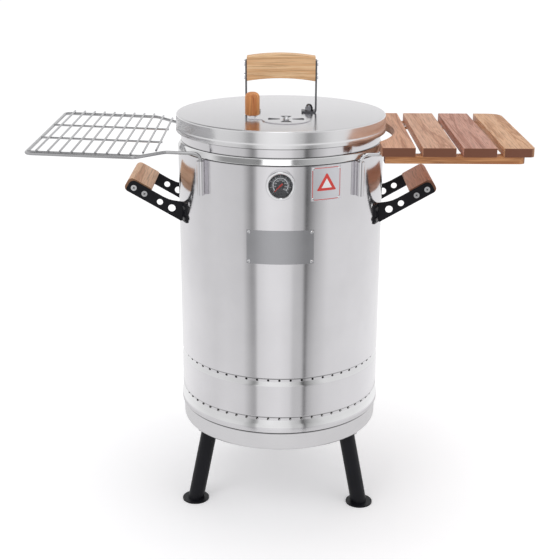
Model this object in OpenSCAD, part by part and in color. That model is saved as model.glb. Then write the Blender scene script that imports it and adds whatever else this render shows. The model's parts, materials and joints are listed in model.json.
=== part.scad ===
// Upright barrel smoker. A steel drum stands over a base pan on three splayed legs.
// It has a lift-off lid with a handle and a damper, two carrying handles, a dial
// thermometer, a wire rack on the left and a slatted table on the right. Both shelves
// hang by bent rods in sleeves. Inside are a charcoal basket, a water pan and a grate.
// Front is -Y, up is +Z, and the origin is on the drum's axis at floor level.

/* [Drum] */
// Outside radius of the drum
drum_r = 200; // [190:1:240]
// Height from the drum's lower edge to the foot of its shoulder
drum_h = 526.5; // [480:0.5:700]
// Thickness of the drum's sheet
drum_sheet = 1.2; // [1:0.1:1.6]
// How far the neck is set in from the drum
neck_inset = 6; // [5:0.5:10]
// Height of the neck above the shoulder
neck_h = 50; // [44:1:70]
// Depth of the two vent grooves
groove_d = 4.5; // [3.5:0.5:6]
// Height of the lower vent row above the drum's lower edge
vent_z = 26.5; // [26.5:0.5:34]
// Distance between the two vent rows
vent_gap = 80.5; // [50:0.5:120]
// Vents in each row
vent_count = 57; // [40:1:60]
// Diameter of a vent
vent_d = 4.5; // [3:0.1:5]

/* [Base] */
// Height of the pan's lower corner above the floor
stand_h = 163; // [140:1:220]
// Height of the pan's wall
pan_h = 53; // [50:1:90]
// Thickness of the pan's sheet
pan_sheet = 1.2; // [1:0.1:2]
// Slope of the pan's underside and splay of the legs
splay = 12.7; // [8:0.1:16]
// Distance of a leg's top from the axis
leg_top_r = 160; // [140:1:165]
// Diameter of the leg tubes
leg_d = 32; // [25:0.5:34]
// Diameter of the leg flanges and feet
foot_d = 54; // [52:0.5:60]

/* [Lid] */
// Outside radius of the lid beyond the drum's radius
lid_over = 3; // [2.5:0.1:6]
// Height of the lid's skirt
skirt_h = 32; // [28:1:42]
// Thickness of the lid's sheet
lid_sheet = 1.5; // [1:0.1:2]
// Length of the lid's wooden grip
lid_grip_l = 131; // [110:1:160]
// Height of the grip's lower edge above the lid
lid_grip_z = 61; // [55:1:90]
// Radius of the damper disc
damper_r = 45; // [42:0.5:55]
// Place of the damper's pivot, X
damper_x = 9.7; // [-20:0.1:20]
// Place of the damper's pivot, Y
damper_y = -88; // [-110:1:-85]

/* [Handles] */
// Angle of the carrying handles above level
handle_rise = 30; // [20:1:40]
// Height of a handle's foot above the drum's lower edge
handle_z = 389.5; // [300:0.5:420]
// Half the clear width between a handle's two arms
handle_half_w = 71; // [60:1:80]
// Length of an arm along its slope
arm_l = 121; // [115:1:150]
// Thickness of an arm
arm_t = 3; // [2:0.5:4]

/* [Shelves] */
// Diameter of the shelf rods
rod_d = 6.5; // [5:0.5:8]
// Length of the sleeves
sleeve_l = 64; // [50:1:90]
// Reach of both shelves from the drum's axis
shelf_reach = 459; // [440:1:520]
// Half the depth of the wire rack
rack_half = 203; // [190:1:230]
// Rise of the wire rack towards its outer end
rack_rise = 2; // [0:0.5:4]
// Half the depth of the slatted table
table_half = 180; // [178:1:220]
// Thickness of the slats
slat_t = 16; // [12:1:22]
// Thickness of the battens
batten_t = 13; // [10:1:20]
// Gap between two slats
slat_gap = 12.5; // [6:0.5:16]

/* [Inside] */
// Radius of the charcoal basket
basket_r = 140; // [120:1:145]
// Height of the charcoal basket
basket_h = 140; // [100:1:160]
// Radius of the water pan's rim
water_r = 170; // [162:1:172]
// Depth of the water pan
water_h = 75; // [50:1:90]
// Height of the water pan's rim above the drum's lower edge
water_z = 267; // [260:1:290]
// Height of the cooking grate above the drum's lower edge
grate_z = 397; // [390:1:410]

/* [Hidden] */
$fn = 64;

steel = [0.80, 0.80, 0.81];
dark_steel = [0.45, 0.45, 0.47];
black = [0.10, 0.10, 0.12];
oak = [0.84, 0.66, 0.46];
brown_wood = [0.68, 0.48, 0.34];
red_brown = [0.66, 0.42, 0.26];
white = [0.93, 0.93, 0.92];
red = [0.78, 0.12, 0.12];

slack = 0.1;    // clearance of a bolt or screw in its hole
run = 0.05;     // radial clearance of a turning or sliding fit
rest = 0.3;     // gap between two pieces that come apart
weld = 0.15;    // how far welded round bars sink into each other
over = 1;       // how far a cutting shape passes a face
bar_slim = 0.1; // how much thinner the swept stretch of a bent bar is

// Levels, from the floor up
pan_corner_r = 7;
pan_foot_r = drum_r - 2;
pan_rim_r = drum_r - 0.6;
pan_rim_z = stand_h + pan_h;
lap = 13;
drum_z = pan_rim_z - lap;
shoulder_z = drum_z + drum_h;
shoulder_h = 11;
neck_r = drum_r - neck_inset;
neck_top_z = shoulder_z + shoulder_h + neck_h;
roll_r = 2.5;
lid_under_z = neck_top_z + rest;
lid_z = lid_under_z + lid_sheet;
lid_r = drum_r + lid_over;
drum_in = drum_r - drum_sheet;

function unit(v) = v / norm(v);
function left_of(v) = [-v[1], v[0]];
function reversed(p) = [for (i = [len(p) - 1 : -1 : 0]) p[i]];

// An open outline moved by t to its left, with mitred corners
function beside(p, t) = [
    for (i = [0 : len(p) - 1])
        let (last = len(p) - 1)
        let (before = left_of(unit(i == 0 ? p[1] - p[0] : p[i] - p[i - 1])))
        let (after = left_of(unit(i == last ? p[i] - p[i - 1] : p[i + 1] - p[i])))
        p[i] + t * (before + after) / (1 + before * after)
];

// Points on an arc
function arc(c, r, from, to, steps = 4) = [
    for (i = [0 : steps])
        let (a = from + (to - from) * i / steps)
        c + r * [cos(a), sin(a)]
];

// A rounded rectangle with its own radius at each corner: low left, low right, top right, top left
function rounded_box(low, high, radii) = concat(
    arc(low + radii[0] * [1, 1], radii[0], 180, 270),
    arc([high[0] - radii[1], low[1] + radii[1]], radii[1], 270, 360),
    arc(high - radii[2] * [1, 1], radii[2], 0, 90),
    arc([low[0] + radii[3], high[1] - radii[3]], radii[3], 90, 180)
);

// Sheet metal of thickness t, spun round the axis, with p as its outer face
module spun_sheet(p, t) {
    rotate_extrude($fn = 128) polygon(concat(p, reversed(beside(p, t))));
}

module tube(r_out, r_in, h, steps = $fn) {
    difference() {
        cylinder(r = r_out, h = h, $fn = steps);
        translate([0, 0, -over]) cylinder(r = r_in, h = h + 2 * over, $fn = steps);
    }
}

// A straight bar from a to b
module bar(a, b, d) {
    v = b - a;
    translate(a)
        rotate([0, acos(v[2] / norm(v)), atan2(v[1], v[0])])
            cylinder(d = d, h = norm(v), $fn = 24);
}

// Where the bend at corner q starts or ends, on the straight towards the point to
function bend_end(p, q, r, bend, to) =
    q + bend * tan(acos(unit(q - p) * unit(r - q)) / 2) * unit(to - q);

// The round bend of a bar at corner q, between the straights that come from p and go to r
function bend_points(p, q, r, bend) =
    let (u = unit(q - p), v = unit(r - q), w = unit(v - (u * v) * u))
    let (turn = acos(u * v), steps = ceil(turn / 16))
    [
        for (i = [0 : steps])
            let (a = turn * i / steps)
            bend_end(p, q, r, bend, p) + bend * (sin(a) * u + (1 - cos(a)) * w)
    ];

// A bar of diameter d along a row of points, with twelve flat sides
module swept_bar(points, d) {
    sides = 12;
    last = len(points) - 1;
    along = [for (i = [0 : last]) unit(points[min(i + 1, last)] - points[max(i - 1, 0)])];
    across = [
        for (
            i = 0, n = unit(cross(along[0], [0, 1, 0]));
            i <= last;
            i = i + 1, n = i > last ? n : unit(n - (n * along[i]) * along[i])
        ) n
    ];
    polyhedron(
        points = [
            for (i = [0 : last], k = [0 : sides - 1])
                let (a = 360 * k / sides)
                points[i] + d / 2 * (cos(a) * across[i] + sin(a) * cross(along[i], across[i]))
        ],
        faces = concat(
            [[for (k = [0 : sides - 1]) k]],
            [[for (k = [sides - 1 : -1 : 0]) last * sides + k]],
            [
                for (i = [0 : last - 1], k = [0 : sides - 1], half = [0, 1])
                    let (a = i * sides + k, b = i * sides + (k + 1) % sides)
                    half == 0 ? [a, a + sides, b + sides] : [a, b + sides, b]
            ]
        )
    );
}

// One bar of diameter d along a path, with the same bend at each corner. Its two ends are
// round, and the swept stretch between them is a hair thinner and reaches a little into them.
module bent_bar(path, bend, d) {
    last = len(path) - 1;
    first_bend = bend_end(path[0], path[1], path[2], bend, path[0]);
    last_bend = bend_end(path[last - 2], path[last - 1], path[last], bend, path[last]);
    bar(path[0], first_bend, d);
    bar(path[last], last_bend, d);
    swept_bar(
        concat(
            [first_bend + over * unit(path[0] - path[1])],
            [for (i = [1 : last - 1]) each bend_points(path[i - 1], path[i], path[i + 1], bend)],
            [last_bend + over * unit(path[last] - path[last - 1])]
        ),
        d - bar_slim
    );
}

// A flat ring of outside radius r with round bars across it and two flat strips under them
module bar_grate(r, h, bar_d, pitch) {
    wall = 4;
    strip_t = 3;
    reach = r - wall / 2;
    bar_z = h / 2 + 0.5;
    count = floor((reach - pitch) / pitch);
    tube(r, r - wall, h);
    for (i = [-count : count])
        let (x = i * pitch)
        let (half = sqrt(reach * reach - x * x))
        bar([x, -half, bar_z], [x, half, bar_z], bar_d);
    for (y = r / 3 * [-1, 1])
        let (half = sqrt(reach * reach - y * y))
        translate([-half, y - strip_t / 2, 0.2]) cube([2 * half, strip_t, bar_z - bar_d / 4]);
}

// A sector of a disc, centred on angle a, that spans the given width in degrees
module sector(r_in, r_out, a, width) {
    polygon(concat(
        arc([0, 0], r_out, a - width / 2, a + width / 2, 8),
        arc([0, 0], r_in, a + width / 2, a - width / 2, 4)
    ));
}

// Places a child that is drawn at the front of the drum at another angle round it
module round_drum(a) {
    rotate([0, 0, a]) children();
}

// Points a child's +Z outwards at the front of the drum
module facing_front(r, z) {
    translate([0, -r, z]) rotate([90, 0, 0]) children();
}

// ---- Base ----

leg_angles = [-62, 58, 178];
leg_wall = 2;
flange_t = 4;
foot_t = 3;
leg_bolt_ring = 21.5;
leg_bolt_d = 5;
leg_bolt_head_h = 3.5;
leg_bolt_lift = 0.4; // the pan's floor curves up beside the leg
leg_bolt_af_r = 4.4;
leg_nut_h = 4;
pan_floor_r = 40;
pan_corner_c = [pan_foot_r - pan_corner_r, stand_h + pan_corner_r];
pan_turn = pan_corner_c + pan_corner_r * [sin(splay), -cos(splay)];

// Height of the pan's sloping underside at radius r
function pan_under_z(r) = pan_turn[1] - (pan_turn[0] - r) * tan(splay);

leg_top_z = pan_under_z(leg_top_r);

// Puts a child at the top of the leg at angle a, with +Z along the leg and up
module on_leg(a) {
    round_drum(a) translate([0, -leg_top_r, leg_top_z]) rotate([-splay, 0, 0]) children();
}

module leg_bolt_places() {
    for (b = [30, 150, 270])
        rotate([0, 0, b]) translate([leg_bolt_ring, 0, 0]) children();
}

module base_pan() {
    color(steel)
    difference() {
        spun_sheet(
            concat(
                [[0, pan_under_z(pan_floor_r)], [pan_floor_r, pan_under_z(pan_floor_r)]],
                arc(pan_corner_c, pan_corner_r, splay - 90, 0),
                [[pan_rim_r, pan_rim_z]]
            ),
            pan_sheet
        );
        for (a = leg_angles)
            on_leg(a) leg_bolt_places()
                translate([0, 0, -over])
                    cylinder(d = leg_bolt_d + 2 * slack, h = 2 * pan_sheet + 2 * over);
    }
}

module leg(a) {
    length = leg_top_z / cos(splay) + leg_d;
    foot_r = leg_top_r + leg_top_z * tan(splay);
    color(black)
    union() {
        difference() {
            on_leg(a)
                translate([0, 0, -length]) tube(leg_d / 2, leg_d / 2 - leg_wall, length);
            translate([-2 * drum_r, -2 * drum_r, foot_t / 2 - 100])
                cube([4 * drum_r, 4 * drum_r, 100]);
        }
        on_leg(a)
            translate([0, 0, -flange_t])
                difference() {
                    tube(foot_d / 2, leg_d / 2 - leg_wall, flange_t);
                    leg_bolt_places()
                        translate([0, 0, -over])
                            cylinder(d = leg_bolt_d + 2 * slack, h = flange_t + 2 * over);
                }
        round_drum(a) translate([0, -foot_r, 0]) cylinder(d = foot_d, h = foot_t);
    }
}

module leg_bolts() {
    color(dark_steel)
    for (a = leg_angles)
        on_leg(a) leg_bolt_places() {
            translate([0, 0, pan_sheet + leg_bolt_lift])
                cylinder(r = leg_bolt_af_r, h = leg_bolt_head_h, $fn = 6);
            translate([0, 0, -flange_t - leg_nut_h - 2])
                cylinder(
                    d = leg_bolt_d,
                    h = flange_t + leg_nut_h + 2 + pan_sheet + leg_bolt_lift
                );
        }
}

module leg_nuts() {
    color(dark_steel)
    for (a = leg_angles)
        on_leg(a) leg_bolt_places()
            translate([0, 0, -flange_t - leg_nut_h])
                difference() {
                    cylinder(r = leg_bolt_af_r, h = leg_nut_h, $fn = 6);
                    translate([0, 0, -over])
                        cylinder(d = leg_bolt_d, h = leg_nut_h + 2 * over);
                }
}

// ---- Charcoal basket ----

basket_sheet = 1.5;
basket_lip = 12;
basket_slots = 18;
basket_slot_w = 12;
basket_slot_margin = 24;
basket_z = pan_under_z(basket_r) + pan_sheet + rest;
fire_bar_d = 4;
fire_bar_pitch = 18;
grate_h = 6;

module charcoal_basket() {
    color(dark_steel)
    difference() {
        union() {
            translate([0, 0, basket_z]) tube(basket_r, basket_r - basket_sheet, basket_h);
            translate([0, 0, basket_z]) tube(basket_r, basket_r - basket_lip, basket_sheet);
        }
        for (i = [0 : basket_slots - 1])
            rotate([0, 0, i * 360 / basket_slots])
                translate([0, -basket_slot_w / 2, basket_z + basket_slot_margin])
                    cube([basket_r + over, basket_slot_w, basket_h - 2 * basket_slot_margin]);
    }
}

module fire_grate() {
    color(dark_steel)
    translate([0, 0, basket_z + basket_sheet])
        bar_grate(basket_r - basket_sheet - 1, grate_h, fire_bar_d, fire_bar_pitch);
}

// ---- Drum ----

sleeve_wall = 3.5;
sleeve_r = rod_d / 2 + run + sleeve_wall;
sleeve_web = 2;
sleeve_web_w = 6;
sleeve_at = drum_r + sleeve_web + sleeve_r;
sleeve_x = sleeve_at * sin(45);
sleeve_top_z = shoulder_z - 3;
sleeve_z = sleeve_top_z - sleeve_l;
sleeve_angles = [-135, -45, 45, 135];

// One vent groove, from its lower edge at height z up
function groove(z) = [
    [drum_r, z - 10.5], [drum_r - groove_d, z - 3],
    [drum_r - groove_d, z + 3], [drum_r, z + 5]
];

drum_outline = concat(
    [[drum_r + 2, drum_z], [drum_r + 2, drum_z + 9]],
    groove(drum_z + vent_z),
    groove(drum_z + vent_z + vent_gap),
    [
        [drum_r, shoulder_z - 1.5], [drum_r + 0.8, shoulder_z + 0.5],
        [neck_r, shoulder_z + shoulder_h], [neck_r, neck_top_z - roll_r]
    ]
);

// Places a child, drawn with +Z outwards, on each bolt hole of the handle brackets
module bracket_bolt_places() {
    for (side = [-1, 1])
        for (end = [-1, 1])
            for (z = bracket_bolt_z)
                round_drum(side * (90 + end * bracket_bolt_a)) facing_front(drum_r, z)
                    children();
}

// Places a child, drawn with +Z outwards, on each rivet hole of the two plates
module rivet_places() {
    for (p = [warning_at, name_at])
        for (sx = [-1, 1])
            for (sz = [-1, 1])
                let (half = p[2] / 2 - rivet_inset)
                let (turn = asin(half / drum_r))
                round_drum(p[0] + sx * turn)
                    facing_front(drum_r, p[1] + sz * (p[3] / 2 - rivet_inset))
                        children();
}

module drum_shell() {
    color(steel)
    difference() {
        union() {
            spun_sheet(drum_outline, drum_sheet);
            rotate_extrude()
                translate([neck_r + roll_r - drum_sheet / 2, neck_top_z - roll_r])
                    circle(r = roll_r, $fn = 24);
        }
        for (row = [0, 1])
            for (i = [0 : vent_count - 1])
                round_drum(i * 360 / vent_count)
                    facing_front(drum_r - 2 * groove_d, drum_z + vent_z + row * vent_gap)
                        cylinder(d = vent_d, h = 2 * groove_d, $fn = 16);
        bracket_bolt_places()
            translate([0, 0, -5]) cylinder(d = bracket_bolt_d + 2 * slack, h = 10);
        rivet_places() translate([0, 0, -5]) cylinder(d = rivet_d + 2 * slack, h = 10);
        facing_front(drum_r - 5, thermometer_z) cylinder(r = stem_r + slack, h = 10);
    }
}

module shelf_sleeves() {
    color(steel)
    for (a = sleeve_angles)
        round_drum(a)
            difference() {
                union() {
                    translate([0, -sleeve_at, sleeve_z]) cylinder(r = sleeve_r, h = sleeve_l);
                    translate([-sleeve_web_w / 2, -sleeve_at, sleeve_z])
                        cube([sleeve_web_w, sleeve_at - drum_r + 1, sleeve_l]);
                }
                translate([0, 0, sleeve_z - over]) cylinder(r = drum_r, h = sleeve_l + 2 * over);
                translate([0, -sleeve_at, sleeve_z - over])
                    cylinder(d = rod_d + 2 * run, h = sleeve_l + 2 * over);
            }
}

ledge_w = 20;
ledge_t = 2;
ledge_leaf_h = 16;
ledge_angles = [0, 120, 240];

// A bent tab on the inside of the drum whose shelf starts at radius r, top face at height z
module ledge(a, r, z) {
    round_drum(a)
        intersection() {
            translate([0, 0, z - ledge_leaf_h])
                cylinder(r = drum_in, h = ledge_leaf_h, $fn = 256);
            union() {
                translate([-ledge_w / 2, -drum_r, z - ledge_t])
                    cube([ledge_w, drum_r - r, ledge_t]);
                translate([-ledge_w / 2, -drum_r, z - ledge_leaf_h])
                    cube([ledge_w, drum_r - drum_in + ledge_t, ledge_leaf_h]);
            }
        }
}

module inner_ledges() {
    color(steel)
    for (a = ledge_angles) {
        ledge(a + 30, water_r - 12, drum_z + water_z);
        ledge(a + 90, grate_r - 8, drum_z + grate_z);
    }
}

// ---- Carrying handles ----

arm_w = 24.5;
arm_foot_h = 38;
arm_end_r = 10;
arm_foot_x = 192.5 - 200 + drum_r;
grip_from = 77;
grip_to = 126;
grip_w = [-1, 27];
grip_radii = [4, 9, 10, 4];
grip_screw_u = [86, 109];
arm_hole_u = [27, 52.5];
arm_hole_v = 12.3;
arm_hole_d = [14.5, 12];
grip_screw_d = 5;
grip_screw_l = 30;
grip_screw_head_r = 5.6;
grip_screw_head_h = 3;
bracket_foot_w = 21;
bracket_bolt_a = 25.4;
bracket_bolt_d = 5;
bracket_bolt_z = [drum_z + handle_z + 8, drum_z + handle_z + 29];
bracket_head_r = 4.8;
bracket_head_h = 2.8;
bracket_nut_h = 4;

// Draws a child, made on the right, on the right or turned round to the left
module on_side(side) {
    rotate([0, 0, side < 0 ? 180 : 0]) children();
}

// Places a child in the plane of an arm: +X along the arm, +Y across it, +Z towards the back
module on_arm() {
    translate([arm_foot_x, 0, drum_z + handle_z])
        rotate([0, -handle_rise, 0]) rotate([90, 0, 0]) mirror([0, 0, 1]) children();
}

// An arm's upright root and what of it is let into its foot, seen along the arm and across it
function on_root(x, z) = [
    x * cos(handle_rise) + z * sin(handle_rise), z * cos(handle_rise) - x * sin(handle_rise)
];
arm_root = 7;

// Drawn at the back on the right, then turned and mirrored to its place.
// side is 1 on the right and -1 on the left; end is -1 at the front and 1 at the back.
module bracket(side, end) {
    color(black)
    on_side(side)
    mirror([0, side * end < 0 ? 1 : 0, 0])
    difference() {
        union() {
            translate([0, handle_half_w, 0]) on_arm()
                linear_extrude(arm_t)
                    polygon(concat(
                        [on_root(-arm_root, 1), [0, 0]],
                        arc([arm_l - 4, 4], 4, 270, 360),
                        arc([arm_l - arm_end_r, arm_w - arm_end_r], arm_end_r, 0, 90),
                        [[52, arm_w], [40, 25.6], [31, 28]],
                        [on_root(0, arm_foot_h), on_root(-arm_root, arm_foot_h - 1)]
                    ));
            intersection() {
                translate([0, 0, drum_z + handle_z])
                    tube(drum_r + arm_t, drum_r - arm_t, arm_foot_h, 256);
                translate([0, handle_half_w + arm_t / 2, 0])
                    cube([drum_r + 2 * arm_t, bracket_foot_w - arm_t / 2, 2 * drum_z + drum_h]);
            }
        }
        cylinder(r = drum_r, h = 2 * drum_z + drum_h, $fn = 256);
        for (i = [0, 1])
            translate([0, handle_half_w - over, 0]) on_arm()
                translate([arm_hole_u[i], arm_hole_v + 1 - i, 0])
                    cylinder(d = arm_hole_d[i], h = arm_t + 2 * over);
        for (u = grip_screw_u)
            translate([0, handle_half_w - over, 0]) on_arm()
                translate([u, arm_hole_v, 0])
                    cylinder(d = grip_screw_d + 2 * slack, h = arm_t + 2 * over);
        for (z = bracket_bolt_z)
            round_drum(90 + bracket_bolt_a) facing_front(drum_r, z)
                translate([0, 0, -5]) cylinder(d = bracket_bolt_d + 2 * slack, h = 10);
    }
}

module grip(side) {
    color(side < 0 ? oak : brown_wood)
    on_side(side)
    difference() {
        translate([0, -handle_half_w, 0]) on_arm()
            linear_extrude(2 * handle_half_w)
                polygon(rounded_box([grip_from, grip_w[0]], [grip_to, grip_w[1]], grip_radii));
        for (end = [-1, 1])
            for (u = grip_screw_u)
                translate([0, end * (handle_half_w - grip_screw_l / 2), 0]) on_arm()
                    translate([u, arm_hole_v, -grip_screw_l / 2 - over])
                        cylinder(d = grip_screw_d + 2 * slack, h = grip_screw_l + 2 * over);
    }
}

module grip_screws() {
    color(steel)
    for (side = [-1, 1])
        on_side(side)
            for (end = [-1, 1])
                for (u = grip_screw_u)
                    translate([0, end * (handle_half_w + arm_t), 0]) on_arm()
                        translate([u, arm_hole_v, 0])
                            mirror([0, 0, end > 0 ? 1 : 0]) {
                                translate([0, 0, -grip_screw_head_h])
                                    cylinder(r = grip_screw_head_r, h = grip_screw_head_h);
                                cylinder(d = grip_screw_d, h = arm_t + grip_screw_l - 2);
                            }
}

module bracket_bolts() {
    color(steel)
    bracket_bolt_places() {
        translate([0, 0, arm_t]) cylinder(r = bracket_head_r, h = bracket_head_h);
        translate([0, 0, -drum_sheet - bracket_nut_h - 1.5])
            cylinder(d = bracket_bolt_d, h = drum_sheet + bracket_nut_h + 1.5 + arm_t);
    }
}

module bracket_nuts() {
    color(steel)
    bracket_bolt_places()
        translate([0, 0, -drum_sheet - slack - bracket_nut_h])
            difference() {
                cylinder(r = bracket_head_r, h = bracket_nut_h, $fn = 6);
                translate([0, 0, -over])
                    cylinder(d = bracket_bolt_d, h = bracket_nut_h + 2 * over);
            }
}

// ---- Thermometer ----

thermometer_z = drum_z + 492;
case_r = 27;
case_wall = 1.5;
case_back = 2;
case_depth = 11;
bezel_t = 2;
bezel_in = 21.8;
dial_d = 4;
dial_t = 1;
lens_t = 1.5;
needle_d = 6;
needle_t = 1;
needle_l = 16;
needle_tail = 5;
needle_shaft_r = 1;
stem_r = 4;
stem_l = 62;
stem_nut_r = 9;
stem_nut_h = 5;

module on_thermometer() {
    facing_front(drum_r, thermometer_z) children();
}

module thermometer_case() {
    color(steel)
    on_thermometer()
        difference() {
            cylinder(r = case_r, h = case_depth);
            translate([0, 0, case_back])
                cylinder(r = case_r - case_wall, h = case_depth);
            translate([0, 0, -over]) cylinder(r = stem_r, h = case_back + 2 * over);
        }
}

module thermometer_bezel() {
    color(steel)
    on_thermometer()
        translate([0, 0, case_depth])
            rotate_extrude()
                polygon(concat(
                    [[bezel_in, 0.6], [case_r - case_wall, 0], [case_r, 0]],
                    arc([case_r - bezel_t, 0], bezel_t, 0, 90),
                    [[bezel_in + 1.4, bezel_t]]
                ));
}

module thermometer_dial() {
    color([0.22, 0.22, 0.24])
    on_thermometer()
        translate([0, 0, dial_d]) tube(case_r - case_wall, needle_shaft_r + run, dial_t);
}

module thermometer_lens() {
    color([0.9, 0.95, 1, 0.35])
    on_thermometer()
        translate([0, 0, case_depth - lens_t])
            cylinder(r = case_r - case_wall, h = lens_t);
}

module thermometer_stem() {
    color(dark_steel)
    on_thermometer()
        translate([0, 0, case_back - stem_l]) cylinder(r = stem_r, h = stem_l);
}

module thermometer_nut() {
    color(dark_steel)
    on_thermometer()
        translate([0, 0, -drum_sheet - rest - stem_nut_h])
            difference() {
                cylinder(r = stem_nut_r, h = stem_nut_h, $fn = 6);
                translate([0, 0, -over]) cylinder(r = stem_r, h = stem_nut_h + 2 * over);
            }
}

// The needle rests at the cold end of the scale, at half past seven on a clock
module thermometer_needle() {
    color(red)
    on_thermometer() {
        rotate([0, 0, 225])
            translate([0, 0, needle_d])
                linear_extrude(needle_t)
                    polygon([
                        [-needle_tail, -1.2], [0, -1.5], [needle_l, -0.3],
                        [needle_l, 0.3], [0, 1.5], [-needle_tail, 1.2]
                    ]);
        translate([0, 0, case_back + rest])
            cylinder(r = needle_shaft_r, h = needle_d + needle_t - case_back);
    }
}

// ---- Plates ----

plate_t = 0.8;
rivet_d = 3;
rivet_head_r = 3;
rivet_head_h = 1.4;
rivet_tail = 3;
rivet_inset = 4;
warning_at = [24.7, drum_z + 491, 60, 63];
name_at = [0, drum_z + 373.5, 124, 64];

// A curved plate: at is its angle round the drum, its height, its width and its depth
module plate(at) {
    difference() {
        intersection() {
            translate([0, 0, at[1] - at[3] / 2]) tube(drum_r + plate_t, drum_r, at[3], 256);
            round_drum(at[0])
                translate([-at[2] / 2, -drum_r - 5, at[1] - at[3] / 2])
                    cube([at[2], drum_r, at[3]]);
        }
        rivet_places() translate([0, 0, -5]) cylinder(d = rivet_d + 2 * slack, h = 10);
    }
}

module warning_plate() {
    color(white) plate(warning_at);
}

module name_plate() {
    color([0.66, 0.67, 0.69]) plate(name_at);
}

module plate_rivets() {
    color(steel)
    rivet_places() {
        translate([0, 0, plate_t]) cylinder(r1 = rivet_head_r, r2 = rivet_head_r / 2, h = rivet_head_h);
        translate([0, 0, -drum_sheet - rivet_tail])
            cylinder(d = rivet_d, h = drum_sheet + rivet_tail + plate_t);
    }
}

// ---- Water pan and grate ----

water_sheet = 1;
water_bowl_r = water_r - 20;
water_corner_r = 14;
water_rim_z = drum_z + water_z + rest;
grate_r = drum_in - 12;
grate_bar_d = 4;
grate_pitch = 20;

module water_pan() {
    c = [water_bowl_r - water_corner_r, water_rim_z - water_h + water_corner_r];
    color(steel)
    spun_sheet(
        concat(
            [[0, water_rim_z - water_h]],
            arc(c, water_corner_r, -90, 0),
            [[water_bowl_r, water_rim_z], [water_r, water_rim_z]]
        ),
        water_sheet
    );
}

module cooking_grate() {
    color(steel)
    translate([0, 0, drum_z + grate_z + rest])
        bar_grate(grate_r, grate_h, grate_bar_d, grate_pitch);
}

// ---- Lid ----

strap_t = 3;
strap_w = 25;
strap_h = 99.5;
strap_foot = 26;
strap_x = lid_grip_l / 2 + 0.2;
lid_bolt_x = strap_x - 11.5;
lid_bolt_d = 8;
lid_bolt_head_r = 7;
lid_bolt_head_h = 5;
acorn_r = 8.5;
acorn_h = 6.5;
acorn_dome_r = 6.6;
lid_grip_h = 45.5;
lid_grip_d = 28;
lid_grip_bow = 5.5;
lid_screw_z = [lid_grip_z + 7.8, lid_grip_z + 32.9];
lid_screw_d = 5;
lid_screw_l = 30;
lid_screw_head_r = 5.5;
lid_screw_head_h = 2.6;
vent_in = 12;
vent_out = 34;
vent_width = 38;
damper_t = 1.5;
damper_z = lid_z + rest;
rivet_r = 3;
knob_angle = 168.5;
knob_at = 64.5;
knob_r = 13.8;
knob_h = 43;
knob_lift = 5;
knob_stud_r = 2.5;
knob_stud_l = 24;

module at_damper() {
    translate([damper_x, damper_y, 0]) children();
}

module lid_shell() {
    hem = 0.6;
    corner = 3;
    color(steel)
    difference() {
        spun_sheet(
            concat(
                [[lid_r + hem, lid_z - skirt_h], [lid_r + hem, lid_z - skirt_h + 7]],
                [[lid_r, lid_z - skirt_h + 8.5]],
                arc([lid_r - corner, lid_z - corner], corner, 0, 90),
                [[0, lid_z]]
            ),
            lid_sheet
        );
        at_damper()
            translate([0, 0, lid_under_z - over]) {
                for (a = [45 : 90 : 315])
                    linear_extrude(lid_sheet + 2 * over) sector(vent_in, vent_out, a, vent_width);
                cylinder(r = rivet_r + run, h = lid_sheet + 2 * over);
            }
        for (side = [-1, 1])
            translate([side * lid_bolt_x, 0, lid_under_z - over])
                cylinder(d = lid_bolt_d + 2 * slack, h = lid_sheet + 2 * over);
    }
}

module lid_strap(side) {
    bend = 5;
    color(dark_steel)
    on_side(side)
    difference() {
        translate([0, strap_w / 2, lid_z]) rotate([90, 0, 0])
            linear_extrude(strap_w)
                polygon(concat(
                    [[strap_x + strap_t, strap_h], [strap_x, strap_h]],
                    reversed(arc([strap_x - bend + strap_t, bend], bend - strap_t, 270, 360)),
                    [[strap_x - strap_foot, strap_t], [strap_x - strap_foot, 0]],
                    arc([strap_x - bend + strap_t, bend], bend, 270, 360)
                ));
        translate([lid_bolt_x, 0, lid_z - over])
            cylinder(d = lid_bolt_d + 2 * slack, h = strap_t + 2 * over);
        for (z = lid_screw_z)
            translate([strap_x - over, 0, lid_z + z]) rotate([0, 90, 0])
                cylinder(d = lid_screw_d + 2 * slack, h = strap_t + 2 * over);
    }
}

// Height of the bowed grip's lower edge above the lid at a distance x from its middle
function grip_edge(x) = lid_grip_z + lid_grip_bow * (1 - pow(2 * x / lid_grip_l, 2));

module lid_grip() {
    steps = 10;
    xs = [for (i = [0 : steps]) lid_grip_l * (i / steps - 0.5)];
    color(oak)
    difference() {
        translate([0, lid_grip_d / 2, lid_z]) rotate([90, 0, 0])
            linear_extrude(lid_grip_d)
                polygon(concat(
                    [for (x = xs) [x, grip_edge(x)]],
                    reversed([for (x = xs) [x, grip_edge(x) + lid_grip_h]])
                ));
        for (side = [-1, 1])
            on_side(side)
                for (z = lid_screw_z)
                    translate([lid_grip_l / 2 - lid_screw_l, 0, lid_z + z]) rotate([0, 90, 0])
                        cylinder(d = lid_screw_d + 2 * slack, h = lid_screw_l + over);
    }
}

module lid_grip_screws() {
    color(steel)
    for (side = [-1, 1])
        on_side(side)
            for (z = lid_screw_z)
                translate([strap_x + strap_t, 0, lid_z + z]) rotate([0, 90, 0]) {
                    cylinder(r = lid_screw_head_r, h = lid_screw_head_h);
                    translate([0, 0, -strap_t - lid_screw_l + 2])
                        cylinder(d = lid_screw_d, h = strap_t + lid_screw_l - 2);
                }
}

module lid_bolts() {
    color(steel)
    for (side = [-1, 1])
        translate([side * lid_bolt_x, 0, lid_under_z]) {
            translate([0, 0, -lid_bolt_head_h])
                cylinder(r = lid_bolt_head_r, h = lid_bolt_head_h, $fn = 6);
            cylinder(d = lid_bolt_d, h = lid_sheet + strap_t + acorn_h);
        }
}

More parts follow.
